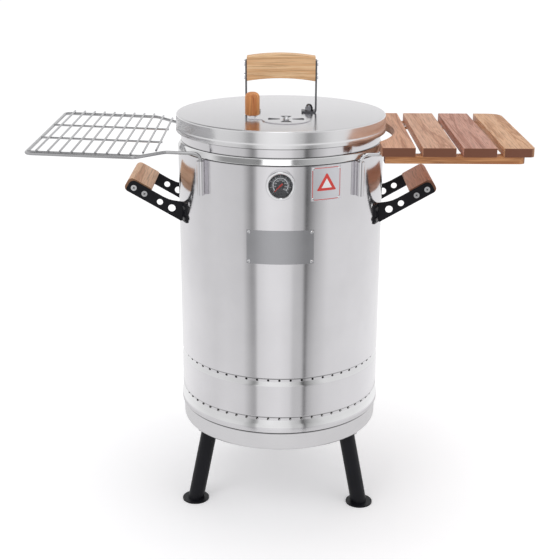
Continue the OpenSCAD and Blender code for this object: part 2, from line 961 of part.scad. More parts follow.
module lid_acorn_nuts() {
    color(steel)
    for (side = [-1, 1])
        translate([side * lid_bolt_x, 0, lid_z + strap_t])
            difference() {
                union() {
                    cylinder(r = acorn_r, h = 1.5);
                    cylinder(r = acorn_r - 1, h = acorn_h, $fn = 6);
                    translate([0, 0, acorn_h]) sphere(r = acorn_dome_r);
                }
                translate([0, 0, -over - 10]) cylinder(r = 2 * acorn_r, h = 10 + over);
                translate([0, 0, -over]) cylinder(d = lid_bolt_d, h = acorn_h + over + slack);
            }
}

module damper_rivet() {
    color(steel)
    at_damper() {
        translate([0, 0, lid_under_z - 2]) cylinder(r = 2 * rivet_r, h = 2);
        translate([0, 0, lid_under_z])
            cylinder(r = rivet_r, h = lid_sheet + damper_t + 2 * rest);
        translate([0, 0, damper_z + damper_t + rest])
            cylinder(r1 = 2.2 * rivet_r, r2 = rivet_r, h = 4);
    }
}

module damper_disc() {
    tab_r = 10;
    color(steel)
    at_damper()
        translate([0, 0, damper_z])
            difference() {
                union() {
                    cylinder(r = damper_r, h = damper_t);
                    rotate([0, 0, knob_angle]) {
                        translate([0, -tab_r, 0]) cube([knob_at, 2 * tab_r, damper_t]);
                        translate([knob_at, 0, 0]) cylinder(r = tab_r, h = damper_t);
                    }
                }
                translate([0, 0, -over])
                    cylinder(r = rivet_r + run, h = damper_t + 2 * over);
                for (a = [0 : 90 : 270])
                    translate([0, 0, -over])
                        linear_extrude(damper_t + 2 * over) sector(vent_in, vent_out, a, vent_width);
            }
}

module at_knob() {
    at_damper()
        rotate([0, 0, knob_angle])
            translate([knob_at, 0, damper_z + damper_t]) children();
}

module damper_stud() {
    color(steel)
    at_knob() {
        cylinder(r = 4, h = knob_lift);
        translate([0, 0, knob_lift]) cylinder(r = knob_stud_r, h = knob_stud_l);
    }
}

module damper_knob() {
    color(red_brown)
    at_knob()
        difference() {
            translate([0, 0, knob_lift])
                rotate_extrude()
                    polygon(concat(
                        [[0, 0], [knob_r - 2, 0], [knob_r, 2]],
                        arc([knob_r - 10, knob_h - 10], 10, 0, 90, 6),
                        [[0, knob_h]]
                    ));
            cylinder(r = knob_stud_r + slack, h = knob_lift + knob_stud_l + over);
        }
}

// ---- Wire rack ----

bend_r = 12;
rod_z = sleeve_top_z + bend_r + 1.5;
rod_foot_z = sleeve_z + 6;
rack_out_x = shelf_reach - rod_d / 2;
rack_in_x = drum_r + 12;
rack_side_x = drum_r + 62;
wire_d = 4;
rack_wire_count = 11;
rack_wire_from = drum_r + 27;
rack_wire_to = rack_out_x - 19;
rack_cross_from = rack_half - 11;
rack_cross_z = (rod_d - wire_d) / 2;
rack_wire_z = (rod_d + wire_d) / 2 - weld;

// A point of the rack, drawn level, raised to its slope. x is the distance left of the axis.
function on_rack(x, y, z = 0) = [
    -sleeve_x - (x - sleeve_x) * cos(rack_rise) + z * sin(rack_rise),
    y,
    rod_z + (x - sleeve_x) * sin(rack_rise) + z * cos(rack_rise)
];

// One end of the rack's frame, from the foot of its rod out to its corner
function rack_end(side) = [
    [-sleeve_x, side * sleeve_x, rod_foot_z],
    [-sleeve_x, side * sleeve_x, rod_z],
    on_rack(rack_in_x, side * sleeve_x),
    on_rack(rack_side_x, side * rack_half),
    on_rack(rack_out_x, side * rack_half)
];

// Half depth of the frame at a distance x from the axis, and the distance at a half depth y
rack_flare = (rack_half - sleeve_x) / (rack_side_x - rack_in_x);
function rack_depth(x) = min(rack_half, sleeve_x + rack_flare * (x - rack_in_x));
function rack_flare_x(y) = rack_in_x + (y - sleeve_x) / rack_flare;

module rack_frame() {
    color(steel) bent_bar(concat(rack_end(-1), reversed(rack_end(1))), bend_r, rod_d);
}

module rack_cross_wires() {
    color(steel)
    for (y = rack_cross_from * [-1, -1/3, 1/3, 1])
        let (inner = max(rack_wire_from - wire_d / 2, rack_flare_x(abs(y))))
        bar(on_rack(inner, y, rack_cross_z), on_rack(rack_out_x - 1, y, rack_cross_z), wire_d);
}

module rack_wires() {
    color(steel)
    for (i = [0 : rack_wire_count - 1])
        let (x = rack_wire_from + (rack_wire_to - rack_wire_from) * i / (rack_wire_count - 1))
        let (front = rack_depth(x) - rod_d / 2 - wire_d / 2)
        let (back = rack_depth(x) + rod_d / 2)
        bar(on_rack(x, -front, rack_wire_z), on_rack(x, back, rack_wire_z), wire_d);
}

// ---- Slatted table ----

slat_z = rod_z + rod_d / 2;
table_from = drum_r - 17.5;
slat_w = (shelf_reach - table_from - 3 * slat_gap - 56) / 3;
slat_4_w = 56;
slat_r = 2;
slat_4_front_r = 10;
slat_4_back_r = 26;
lid_gap = 17;
batten_w = 26;
batten_y = table_half - 2 - batten_w / 2;
batten_from = table_from + 5.5;
batten_to = shelf_reach - 16;
table_screw_d = 4;
table_screw_head_r = 4;
table_screw_head_h = 2;
table_screw_l = batten_t + slat_t - 5;
clip_t = 1;
clip_w = 14;
clip_ear = 16;
rod_end_x = shelf_reach - 20;

function slat_x(i) = table_from + i * (slat_w + slat_gap);
function slat_width(i) = i == 3 ? slat_4_w : slat_w;
function slat_mid(i) = slat_x(i) + slat_width(i) / 2;

// Places a child at the head of each slat screw, with +Z up into the wood
module slat_screw_places() {
    for (i = [0 : 3])
        for (y = batten_y * [-1, 1])
            translate([slat_mid(i), y, slat_z - batten_t]) children();
}

// Places a child at the head of each clip screw, with +Z up into the wood
module clip_screw_places() {
    for (i = [0, 3])
        for (y = (sleeve_x - rod_d / 2 - clip_t - clip_ear / 2) * [-1, 1])
            translate([slat_mid(i), y, slat_z - clip_t]) children();
}

module slat(i) {
    corners = i < 3
        ? [slat_r, slat_r, slat_r, slat_r]
        : [slat_r, slat_4_front_r, slat_4_back_r, slat_r];
    color(i % 2 == 0 ? oak : brown_wood)
    difference() {
        translate([0, 0, slat_z])
            linear_extrude(slat_t)
                polygon(rounded_box(
                    [slat_x(i), -table_half], [slat_x(i) + slat_width(i), table_half], corners
                ));
        translate([0, 0, slat_z - over]) cylinder(r = lid_r + lid_gap, h = slat_t + 2 * over);
        slat_screw_places()
            cylinder(d = table_screw_d + 2 * slack, h = table_screw_l + over);
        clip_screw_places()
            cylinder(d = table_screw_d + 2 * slack, h = slat_t - 3);
    }
}

module batten(end) {
    color(red_brown)
    difference() {
        translate([0, 0, slat_z - batten_t])
            linear_extrude(batten_t)
                polygon(rounded_box(
                    [batten_from, end * batten_y - batten_w / 2],
                    [batten_to, end * batten_y + batten_w / 2],
                    [slat_r, end < 0 ? 12 : slat_r, end < 0 ? slat_r : 12, slat_r]
                ));
        slat_screw_places() {
            translate([0, 0, -over])
                cylinder(d = table_screw_d + 2 * slack, h = batten_t + 2 * over);
            translate([0, 0, -over])
                cylinder(r = table_screw_head_r + slack, h = over + table_screw_head_h);
        }
    }
}

module table_rods() {
    color(steel)
    for (y = sleeve_x * [-1, 1])
        bent_bar(
            [[sleeve_x, y, rod_foot_z], [sleeve_x, y, rod_z], [rod_end_x, y, rod_z]],
            bend_r, rod_d
        );
}

module table_rod_clips() {
    color(steel)
    for (i = [0, 3])
        for (end = [-1, 1])
            translate([slat_mid(i) - clip_w / 2, end * sleeve_x, 0])
                mirror([0, end < 0 ? 1 : 0, 0])
                    difference() {
                        union() {
                            translate([0, 0, rod_z]) rotate([0, 90, 0])
                                cylinder(d = rod_d + 2 * clip_t, h = clip_w);
                            translate([0, -rod_d / 2 - clip_t - clip_ear, slat_z - clip_t])
                                cube([clip_w, clip_ear + clip_t + rod_d / 2, clip_t]);
                        }
                        translate([-over, 0, rod_z]) rotate([0, 90, 0])
                            cylinder(d = rod_d + 2 * slack, h = clip_w + 2 * over);
                        translate([-over, -rod_d, slat_z])
                            cube([clip_w + 2 * over, 2 * rod_d, rod_d]);
                        translate([clip_w / 2, -rod_d / 2 - clip_t - clip_ear / 2, slat_z - 2 * clip_t])
                            cylinder(d = table_screw_d + 2 * slack, h = 3 * clip_t);
                    }
}

module table_screws() {
    color(steel) {
        slat_screw_places() {
            cylinder(r = table_screw_head_r, h = table_screw_head_h);
            cylinder(d = table_screw_d, h = table_screw_l);
        }
        clip_screw_places() {
            translate([0, 0, -table_screw_head_h])
                cylinder(r = table_screw_head_r, h = table_screw_head_h);
            cylinder(d = table_screw_d, h = slat_t - 4);
        }
    }
}

base_pan();
leg(leg_angles[0]);  // leg_front_left
leg(leg_angles[1]);  // leg_front_right
leg(leg_angles[2]);  // leg_back
leg_bolts();
leg_nuts();
charcoal_basket();
fire_grate();
drum_shell();
shelf_sleeves();
inner_ledges();
bracket(-1, -1);  // left_front_bracket
bracket(-1, 1);  // left_back_bracket
bracket(1, -1);  // right_front_bracket
bracket(1, 1);  // right_back_bracket
grip(-1);  // left_grip
grip(1);  // right_grip
grip_screws();
bracket_bolts();
bracket_nuts();
thermometer_case();
thermometer_bezel();
thermometer_dial();
thermometer_lens();
thermometer_stem();
thermometer_nut();
thermometer_needle();
warning_plate();
name_plate();
plate_rivets();
water_pan();
cooking_grate();
lid_shell();
lid_strap(-1);  // lid_strap_left
lid_strap(1);  // lid_strap_right
lid_grip();
lid_grip_screws();
lid_bolts();
lid_acorn_nuts();
damper_rivet();
damper_disc();
damper_stud();
damper_knob();
rack_frame();
rack_cross_wires();
rack_wires();
slat(0);  // table_slat_1
slat(1);  // table_slat_2
slat(2);  // table_slat_3
slat(3);  // table_slat_4
batten(-1);  // table_batten_front
batten(1);  // table_batten_back
table_rods();
table_rod_clips();
table_screws();
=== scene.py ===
"""The looks of the stainless barrel smoker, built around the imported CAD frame.

Lengths are in metres. Outlines, radii and heights that are given in millimetres say so, and MM
scales them. Angles round the drum start at the front (-Y) and grow towards +X.
"""

import json
import math

import bmesh
import bpy
from mathutils import Matrix, Vector

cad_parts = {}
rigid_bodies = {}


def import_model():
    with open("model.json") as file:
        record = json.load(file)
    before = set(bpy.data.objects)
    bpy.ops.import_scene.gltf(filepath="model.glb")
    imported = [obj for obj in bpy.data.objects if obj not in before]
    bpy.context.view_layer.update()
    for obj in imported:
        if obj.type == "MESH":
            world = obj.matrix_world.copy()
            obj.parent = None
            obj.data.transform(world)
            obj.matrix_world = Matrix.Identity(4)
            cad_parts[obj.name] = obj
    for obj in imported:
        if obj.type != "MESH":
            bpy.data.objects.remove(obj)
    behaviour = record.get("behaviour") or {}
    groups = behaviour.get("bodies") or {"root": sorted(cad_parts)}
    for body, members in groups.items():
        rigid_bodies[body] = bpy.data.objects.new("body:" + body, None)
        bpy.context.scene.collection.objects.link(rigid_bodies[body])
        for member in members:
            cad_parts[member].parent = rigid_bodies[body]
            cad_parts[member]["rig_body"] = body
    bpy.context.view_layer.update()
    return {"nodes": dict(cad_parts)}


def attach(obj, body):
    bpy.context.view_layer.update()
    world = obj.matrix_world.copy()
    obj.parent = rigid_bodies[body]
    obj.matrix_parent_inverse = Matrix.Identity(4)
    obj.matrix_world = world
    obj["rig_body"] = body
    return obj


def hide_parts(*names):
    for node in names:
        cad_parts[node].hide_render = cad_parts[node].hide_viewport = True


MM = 0.001
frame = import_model()
nodes = frame["nodes"]
scene = bpy.context.scene

# Sizes that both the lid and its material use, in millimetres.
LID_TOP = 792.3
DAMPER = (9.7, -88.0)

# ---------------------------------------------------------------- camera
CAMERA_PLACE = (0.0, -2.193, 1.1764)
CAMERA_TILT = math.radians(71.631)
CAMERA_ROLL = math.radians(0.324)
CAMERA_LENS = 72.98
camera_data = bpy.data.cameras.new("camera")
camera_data.lens = CAMERA_LENS
camera_data.sensor_width = 36
camera = bpy.data.objects.new("camera", camera_data)
scene.collection.objects.link(camera)
camera.matrix_world = (
    Matrix.Translation(CAMERA_PLACE)
    @ Matrix.Rotation(CAMERA_TILT, 4, "X")
    @ Matrix.Rotation(CAMERA_ROLL, 4, "Z")
)
scene.camera = camera
scene.view_settings.view_transform = "Standard"


# ---------------------------------------------------------------- colours
def linear(level):
    """A 0 to 255 screen level as linear light."""
    c = level / 255
    return c / 12.92 if c <= 0.04045 else ((c + 0.055) / 1.055) ** 2.4


def paint(r, g, b):
    return (linear(r), linear(g), linear(b), 1)


def grey(level):
    return (level, level, level, 1)


def shade(color, share):
    """A colour made darker, or lighter where `share` is above 1."""
    return tuple(min(1, share * c) for c in color[:3]) + (1,)


# ---------------------------------------------------------------- node helpers
class Tree:
    """The node tree of a material or world, with a short method for each kind of node used here.

    What the methods take is another node's output socket, or a plain number or colour.
    """

    def __init__(self, owner, clear=False):
        owner.use_nodes = True
        self.nodes = owner.node_tree.nodes
        self.make = self.nodes.new
        self.link = owner.node_tree.links.new
        if clear:
            self.nodes.clear()

    def plug(self, value, socket):
        """Links an output socket to this input, or sets the input to a plain value."""
        if isinstance(value, bpy.types.NodeSocket):
            self.link(value, socket)
        else:
            socket.default_value = value

    def principled(self):
        return next(n for n in self.nodes if n.type == "BSDF_PRINCIPLED")

    def object_place(self):
        return self.make("ShaderNodeTexCoord").outputs["Object"]

    def geometry(self, name):
        return self.make("ShaderNodeNewGeometry").outputs[name]

    def stretched(self, stretch, offset=(0, 0, 0)):
        """Object coordinates, stretched and moved."""
        mapping = self.make("ShaderNodeMapping")
        mapping.inputs["Scale"].default_value = stretch
        mapping.inputs["Location"].default_value = offset
        self.link(self.object_place(), mapping.inputs["Vector"])
        return mapping.outputs["Vector"]

    def noise(self, vector, detail=3.0, rough=0.5, distortion=0.0):
        n = self.make("ShaderNodeTexNoise")
        n.inputs["Scale"].default_value = 1
        n.inputs["Detail"].default_value = detail
        n.inputs["Roughness"].default_value = rough
        n.inputs["Distortion"].default_value = distortion
        self.link(vector, n.inputs["Vector"])
        return n.outputs["Fac"]

    def ranged(self, value, low, high, start=0.3, end=0.7):
        """Goes from `low` to `high` while `value` goes from `start` to `end`."""
        n = self.make("ShaderNodeMapRange")
        n.inputs["From Min"].default_value = start
        n.inputs["From Max"].default_value = end
        n.inputs["To Min"].default_value = low
        n.inputs["To Max"].default_value = high
        self.link(value, n.inputs["Value"])
        return n.outputs["Result"]

    def ramp(self, value, stops):
        n = self.make("ShaderNodeValToRGB")
        row = n.color_ramp.elements
        while len(row) > 1:
            row.remove(row[-1])
        row[0].position, row[0].color = stops[0]
        for place, color in stops[1:]:
            row.new(place).color = color
        self.link(value, n.inputs["Fac"])
        return n.outputs["Color"]

    def calc(self, operation, *values):
        n = self.make("ShaderNodeMath")
        n.operation = operation
        for value, socket in zip(values, n.inputs):
            self.plug(value, socket)
        return n.outputs[0]

    def measure(self, operation, *vectors):
        """A vector operation whose result is a number."""
        n = self.make("ShaderNodeVectorMath")
        n.operation = operation
        for vector, socket in zip(vectors, n.inputs):
            self.plug(vector, socket)
        return n.outputs["Value"]

    def parts(self, vector):
        """The X, Y and Z of a vector."""
        n = self.make("ShaderNodeSeparateXYZ")
        self.link(vector, n.inputs[0])
        return n.outputs

    def blend(self, share, first, second):
        """The colour `first` where `share` is 0, and `second` where it is 1."""
        n = self.make("ShaderNodeMix")
        n.data_type = "RGBA"
        self.link(share, n.inputs["Factor"])
        self.plug(first, n.inputs["A"])
        self.plug(second, n.inputs["B"])
        return n.outputs["Result"]

    def bump(self, height, strength, distance, shader):
        n = self.make("ShaderNodeBump")
        n.inputs["Strength"].default_value = strength
        n.inputs["Distance"].default_value = distance
        self.link(height, n.inputs["Height"])
        self.link(n.outputs["Normal"], shader.inputs["Normal"])

    def any_ray(self, *names):
        """1 for each of these kinds of ray, else 0."""
        path = self.make("ShaderNodeLightPath").outputs
        total = path[names[0]]
        for name in names[1:]:
            total = self.calc("MAXIMUM", total, path[name])
        return total

    def closure(self, kind, **inputs):
        """A plain shader node, such as a BsdfDiffuse, with these inputs."""
        n = self.make("ShaderNode" + kind)
        for name, value in inputs.items():
            self.plug(value, n.inputs[name])
        return n.outputs[0]

    def added(self, first, second):
        n = self.make("ShaderNodeAddShader")
        self.link(first, n.inputs[0])
        self.link(second, n.inputs[1])
        return n.outputs[0]

    def mixed(self, share, first, second):
        """The shader `first` where `share` is 0, and `second` where it is 1."""
        n = self.make("ShaderNodeMixShader")
        for value, socket in zip((share, first, second), n.inputs):
            self.link(value, socket)
        return n.outputs[0]


# ---------------------------------------------------------------- materials
looks = {}

# Noise stretches, in waves per metre along each axis: a small number leaves a long line.
AROUND = (4, 4, 900)
SMUDGES = (9,) * 3
CLOUDS = (22,) * 3
PEEL = (900,) * 3


def new_material(name):
    """(tree, Principled node) of a new material, which `looks` keeps under its name."""
    looks[name] = bpy.data.materials.new(name)
    t = Tree(looks[name])
    return t, t.principled()


def metal(name, color, rough, stretch, grain=0.04, relief=0.02):
    """Plain or plated metal: fine lines along the directions that `stretch` leaves long.

    Its tree is returned, for what is painted over it.
    """
    t, shader = new_material(name)
    shader.inputs["Metallic"].default_value = 1
    lines = t.noise(t.stretched(stretch), 4, 0.6)
    smudge = t.noise(t.stretched(SMUDGES), 3, 0.6)
    mean = t.calc("MULTIPLY_ADD", lines, 0.5, t.calc("MULTIPLY", smudge, 0.5))
    t.link(t.ranged(mean, rough - grain, rough + grain), shader.inputs["Roughness"])
    tone = t.ramp(smudge, [(0.35, shade(color, 0.95)), (0.65, color)])
    t.link(tone, shader.inputs["Base Color"])
    t.bump(lines, relief, 0.0002, shader)
    return t


def wood(name, pale, dark, axis, offset, rough=0.5, end=None):
    """Oiled board with its grain along `axis`, and darker end grain."""
    t, shader = new_material(name)

    def grain(along, across, *settings):
        stretch = [across] * 3
        stretch[axis] = along
        return t.noise(t.stretched(tuple(stretch), offset), *settings)

    figure = grain(1.6, 34.0, 6, 0.6, 0.9)
    pores = grain(16.0, 520.0, 3, 0.6)
    mid = tuple((p + d) / 2 for p, d in zip(pale, dark))
    tone = t.ramp(
        figure,
        [(0.32, dark), (0.42, pale), (0.47, mid), (0.51, pale), (0.56, dark), (0.6, mid), (0.7, pale)],
    )
    pored = t.blend(t.ranged(pores, 0.0, 0.7, 0.5, 0.68), tone, shade(dark, 0.62))
    # Faces square to the grain show its ends.
    facing = t.calc("ABSOLUTE", t.parts(t.geometry("True Normal"))[axis])
    square = t.ranged(facing, 0.0, 1.0, 0.5, 0.95)
    whole = t.blend(square, pored, end or shade(dark, 0.5))
    t.link(whole, shader.inputs["Base Color"])
    t.link(t.ranged(figure, rough - 0.06, rough + 0.08), shader.inputs["Roughness"])
    t.bump(pores, 0.25, 0.0004, shader)


def coat(name, color, rough, relief=0.12, shine=0.5):
    """Powder coat or enamel, with a very fine orange peel."""
    t, shader = new_material(name)
    peel = t.noise(t.stretched(PEEL), 2, 0.5)
    cloud = t.noise(t.stretched(CLOUDS), 3, 0.6)
    t.link(t.ranged(cloud, rough - 0.05, rough + 0.06), shader.inputs["Roughness"])
    shader.inputs["Specular IOR Level"].default_value = shine
    tone = t.ramp(cloud, [(0.35, color), (0.7, shade(color, 1.35))])
    t.link(tone, shader.inputs["Base Color"])
    t.bump(peel, relief, 0.0003, shader)


def glass(name):
    t, shader = new_material(name)
    shader.inputs["Transmission Weight"].default_value = 1
    shader.inputs["IOR"].default_value = 1.3
    shader.inputs["Base Color"].default_value = (0.97, 0.98, 1, 1)
    film = t.noise(t.stretched((60,) * 3), 2)
    t.link(t.ranged(film, 0.0, 0.03), shader.inputs["Roughness"])


# Near black: the colour of the painted shade in creases, gaps and under the damper disc.
PAINTED_SHADE_COLOUR = (0.02, 0.02, 0.022, 1)


def painted_shade(t, keep):
    """Leaves the base colour of a tree's shader where `keep` is 1, and turns it to a near-black painted
    shade towards 0.
    """
    color = t.principled().inputs["Base Color"]
    before = color.links[0].from_socket
    t.link(t.blend(keep, PAINTED_SHADE_COLOUR, before), color)


def shade_lines(t, heights, half=0.0016, dark=0.08):
    """Darkens thin lines at these heights, where a sheet is pressed or joined: painted shade along the
    creases and gaps.
    """
    up = t.parts(t.object_place())["Z"]
    keep = None
    for z in heights:
        off = t.calc("ABSOLUTE", t.calc("SUBTRACT", up, z))
        here = t.ranged(off, dark, 1.0, half * 0.5, half * 1.6)
        keep = here if keep is None else t.calc("MINIMUM", keep, here)
    painted_shade(t, keep)


def damper_shade(t, place, inner, outer):
    """A painted shade disc on a flat top under the damper disc, seen only through the damper's openings."""
    far = t.measure("DISTANCE", t.object_place(), place)
    painted_shade(t, t.ranged(far, 0.04, 1.0, inner, outer))


STEEL = (0.80, 0.788, 0.812, 1)
# Slat and batten end grain: darker wood, with painted shade of the end faces added.
SHADED_END_GRAIN = paint(120, 72, 50)
KNOB_END = paint(214, 146, 96)
# Heights of painted shade lines: the grooves' upper slopes, both ends of the shoulder, and the line under
# the lid.
DRUM_SHADE_LINES = (0.2335, 0.3140, 0.7293, 0.7408, 0.7590)
# A painted shade line just under the drum's foot.
PAN_SHADE_LINE = 0.2010

metal("stainless", STEEL, 0.13, AROUND, 0.035, 0.015)
lid_metal = metal("lid_top", STEEL, 0.19, (700, 5, 5), 0.04, 0.012)
# Painted shade on the lid's top under the damper disc.
damper_shade(lid_metal, (DAMPER[0] * MM, DAMPER[1] * MM, LID_TOP * MM), 0.037, 0.042)
drum_metal = metal("drum_steel", STEEL, 0.13, AROUND, 0.035, 0.015)
# Painted shade lines at the drum's creases and under the lid.
shade_lines(drum_metal, DRUM_SHADE_LINES)
# The lid's skirt: brushed up and down, and made lighter than the lid's top as a painted highlight.
metal("lit_lid_side", (0.87, 0.865, 0.88, 1), 0.22, (5, 5, 700), 0.04, 0.02)
# Upward-facing slopes: a lighter, shinier copy of the drum steel, a painted highlight.
metal("lit_slope_steel", (0.88, 0.88, 0.89, 1), 0.11, AROUND, 0.02, 0.01)
pan_metal = metal("pan_steel", (0.84, 0.83, 0.85, 1), 0.2, AROUND, 0.04, 0.02)
# A painted shade line under the drum's foot.
shade_lines(pan_metal, (PAN_SHADE_LINE,), 0.0018, 0.06)
metal("dark_inside", (0.10, 0.095, 0.09, 1), 0.5, AROUND, 0.1, 0.1)
metal("nut_chrome", (0.28, 0.28, 0.30, 1), 0.14, (60,) * 3, 0.03, 0.01)
metal("chrome", (0.84, 0.84, 0.86, 1), 0.10, (60,) * 3, 0.03, 0.01)
metal("rack_wire", (0.50, 0.50, 0.51, 1), 0.22, (200,) * 3, 0.05, 0.05)
metal("strap_steel", (0.12, 0.12, 0.13, 1), 0.32, (300, 8, 300), 0.05, 0.04)
metal("zinc", (0.60, 0.60, 0.61, 1), 0.36, (160,) * 3, 0.08, 0.08)
metal("dark_steel", (0.12, 0.115, 0.11, 1), 0.55, (120,) * 3, 0.1, 0.2)
metal("plate", (0.46, 0.46, 0.48, 1), 0.34, (8, 8, 1200), 0.06, 0.05)
coat("black_coat", (0.007, 0.007, 0.010, 1), 0.4, shine=0.22)
coat("foot_coat", (0.016, 0.016, 0.019, 1), 0.22, 0.05)
coat("dial", (0.045, 0.046, 0.05, 1), 0.55, 0.05)
coat("needle", (0.62, 0.03, 0.02, 1), 0.35, 0.03)
coat("scale_white", (0.88, 0.89, 0.90, 1), 0.5, 0.03)
coat("border_red", (0.62, 0.05, 0.04, 1), 0.4, 0.03)
metal("white_plate", (0.80, 0.80, 0.84, 1), 0.42, (8, 8, 900), 0.05, 0.03)
wood("pale_oak", paint(255, 216, 170), paint(232, 178, 126), 0, (3, 1, 2))
wood("left_wood", paint(248, 202, 164), paint(210, 154, 116), 1, (1, 5, 4))
wood("right_wood", paint(246, 190, 158), paint(196, 134, 102), 1, (7, 2, 9))
wood("knob_wood", paint(250, 178, 110), paint(192, 112, 60), 2, (2, 8, 3), 0.4, KNOB_END)
# The slats and battens take the end grain colour with painted shade.
wood("slat_1", paint(226, 170, 134), paint(176, 114, 82), 1, (11, 3, 1), end=SHADED_END_GRAIN)
wood("slat_2", paint(224, 174, 142), paint(178, 122, 92), 1, (23, 7, 5), end=SHADED_END_GRAIN)
wood("slat_3", paint(214, 158, 136), paint(166, 106, 84), 1, (37, 13, 8), end=SHADED_END_GRAIN)
wood("slat_4", paint(232, 182, 140), paint(186, 130, 88), 1, (51, 19, 2), end=SHADED_END_GRAIN)
wood("batten", paint(216, 156, 104), paint(168, 106, 62), 0, (5, 17, 29), end=SHADED_END_GRAIN)
glass("lens")


# ---------------------------------------------------------------- pieces
def mesh_of(b, name):
    """A new mesh from a bmesh, which is freed."""
    mesh = bpy.data.meshes.new(name)
    b.to_mesh(mesh)
    b.free()
    return mesh


def shown(name, mesh, body, look, stands_for=()):
    """Puts a mesh in the scene as a piece that moves with `body`."""
    piece = bpy.data.objects.new(name, mesh)
    scene.collection.objects.link(piece)
    mesh.materials.clear()
    mesh.materials.append(looks[look])
    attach(piece, body)
    if stands_for:
        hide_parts(*stands_for)
    return piece


def smooth(mesh, degrees=30):
    """Smooth shading, with an edge left sharp where its faces meet at more than this."""
    mesh.polygons.foreach_set("use_smooth", [True] * len(mesh.polygons))
    mesh.set_sharp_from_angle(angle=math.radians(degrees))


def refined(node, look=None, round_by=0.0, degrees=28, steps=2):
    """A copy of a CAD node with joined vertices, whole flat faces, smooth round faces and rounded edges."""
    source = nodes[node]
    slot = source.data.materials[0].name.split(".")[0]
    b = bmesh.new()
    b.from_mesh(source.data)
    bmesh.ops.remove_doubles(b, verts=b.verts, dist=2e-6)
    bmesh.ops.dissolve_limit(
        b,
        angle_limit=math.radians(0.6),
        verts=b.verts,
        edges=b.edges,
        use_dissolve_boundaries=False,
    )
    mesh = mesh_of(b, node + "_fine")
    smooth(mesh, degrees)
    piece = shown(node + "_fine", mesh, source["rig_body"], look or slot, (node,))
    if round_by:
        edge = piece.modifiers.new("edges", "BEVEL")
        edge.width = round_by
        edge.segments = steps
        edge.limit_method = "ANGLE"
        edge.angle_limit = math.radians(35)
        edge.harden_normals = False
        edge.use_clamp_overlap = True


def thickened(piece, name, thickness, offset):
    """Gives a piece's open faces a thickness in millimetres; -1 puts it behind them, 0 on both sides."""
    wall = piece.modifiers.new(name, "SOLIDIFY")
    wall.thickness = thickness * MM
    wall.offset = offset
    return wall


def applied(piece):
    """Applies a piece's modifiers to its mesh."""
    bpy.context.view_layer.update()
    whole = piece.evaluated_get(bpy.context.evaluated_depsgraph_get())
    mesh = bpy.data.meshes.new_from_object(whole)
    piece.modifiers.clear()
    piece.data = mesh


# ---------------------------------------------------------------- turned sheets, in millimetres
AROUND_STEPS = 456
SMOOTH_UP_TO = 24
SHEET, LID_SHEET = 1.2, 1.5
# A sheet piece has three materials: its own, a darker steel on its inner face and rims, and a third.
OWN, DARK_INSIDE, THIRD = 0, 1, 2


def polar(r, angle, z):
    """The point at this angle from the front (-Y), towards +X."""
    return (r * math.sin(angle), -r * math.cos(angle), z)


def arc(across, up, radius, first, last, steps):
    """Points of an arc round (across, up), from the angle `first` to `last` in degrees."""
    turns = [math.radians(first + (last - first) * k / steps) for k in range(steps + 1)]
    return [(across + radius * math.cos(a), up + radius * math.sin(a)) for a in turns]


def filleted(points, radius=2.0, steps=4, hold=1.0):
    """A profile with its inner corners rounded.

    A holding point on each side of a curve keeps the flat runs flat.
    """
    done = [points[0]]
    for before, here, after in zip(points, points[1:], points[2:]):
        a, h, c = Vector(before), Vector(here), Vector(after)
        u, v = (a - h), (c - h)
        reach = min(radius, 0.32 * u.length, 0.32 * v.length)
        u.normalize()
        v.normalize()
        start, end = h + u * reach, h + v * reach
        extra = min(hold, 0.3 * reach + 0.2)
        done.append(tuple(start + u * extra))
        for k in range(steps + 1):
            t = k / steps
            done.append(tuple((1 - t) ** 2 * start + 2 * t * (1 - t) * h + t * t * end))
        done.append(tuple(end + v * extra))
    done.append(points[-1])
    return done


def lathed(b, profile, steps=AROUND_STEPS, skip=None):
    """Rings of (radius, height) millimetres about the z axis, joined by quads.

    `skip(ring, step)` says which quads are left out.
    """
    rings = []
    for r, z in profile:
        if r:
            turns = [2 * math.pi * k / steps for k in range(steps)]
            rings.append([b.verts.new(polar(r * MM, a, z * MM)) for a in turns])
        else:
            rings.append([b.verts.new((0, 0, z * MM))] * steps)
    for i, (low, high) in enumerate(zip(rings, rings[1:])):
        for k in range(steps):
            if skip and skip(i, k):
                continue
            n = (k + 1) % steps
            corner = [low[k], low[n], high[n], high[k]]
            b.faces.new(list(dict.fromkeys(corner)))
    return rings


def sheet_piece(b, name, body, look, node, sheet=SHEET):
    """A turned outer face made into a steel sheet, dark on its inner face and rims."""
    mesh = mesh_of(b, name)
    smooth(mesh, SMOOTH_UP_TO)
    piece = shown(name, mesh, body, look, (node,))
    wall = thickened(piece, "sheet", sheet, -1)
    piece.data.materials.append(looks["dark_inside"])
    wall.material_offset = DARK_INSIDE
    wall.material_offset_rim = DARK_INSIDE
    applied(piece)
    smooth(piece.data, SMOOTH_UP_TO)
    return piece


# Drum: rolled sheet with two pressed grooves, each with a row of round vents on its floor. The
# groove's sizes are heights from the middle of its vents.
DRUM_R = 200
NECK_R = 194
GROOVE_R = 195.5
VENT_ROWS = (229.5, 310.0)
GROOVE_START, GROOVE_FLOOR, GROOVE_END = 10.5, 3.0, 5.0
VENT_BAND = 1.9
VENTS = 57
VENT_R = 2.25
VENT_SIDES = 12
PER_VENT = AROUND_STEPS // VENTS
FOOT = [(202, 203), (202, 212)]
SHOULDER = [(DRUM_R, 728), (200.8, 730), (NECK_R, 740.5), (NECK_R, 787)]
# Faces whose normals rise this much get the lighter steel, a painted highlight.
LIT_SLOPES = (0.22, 0.9)


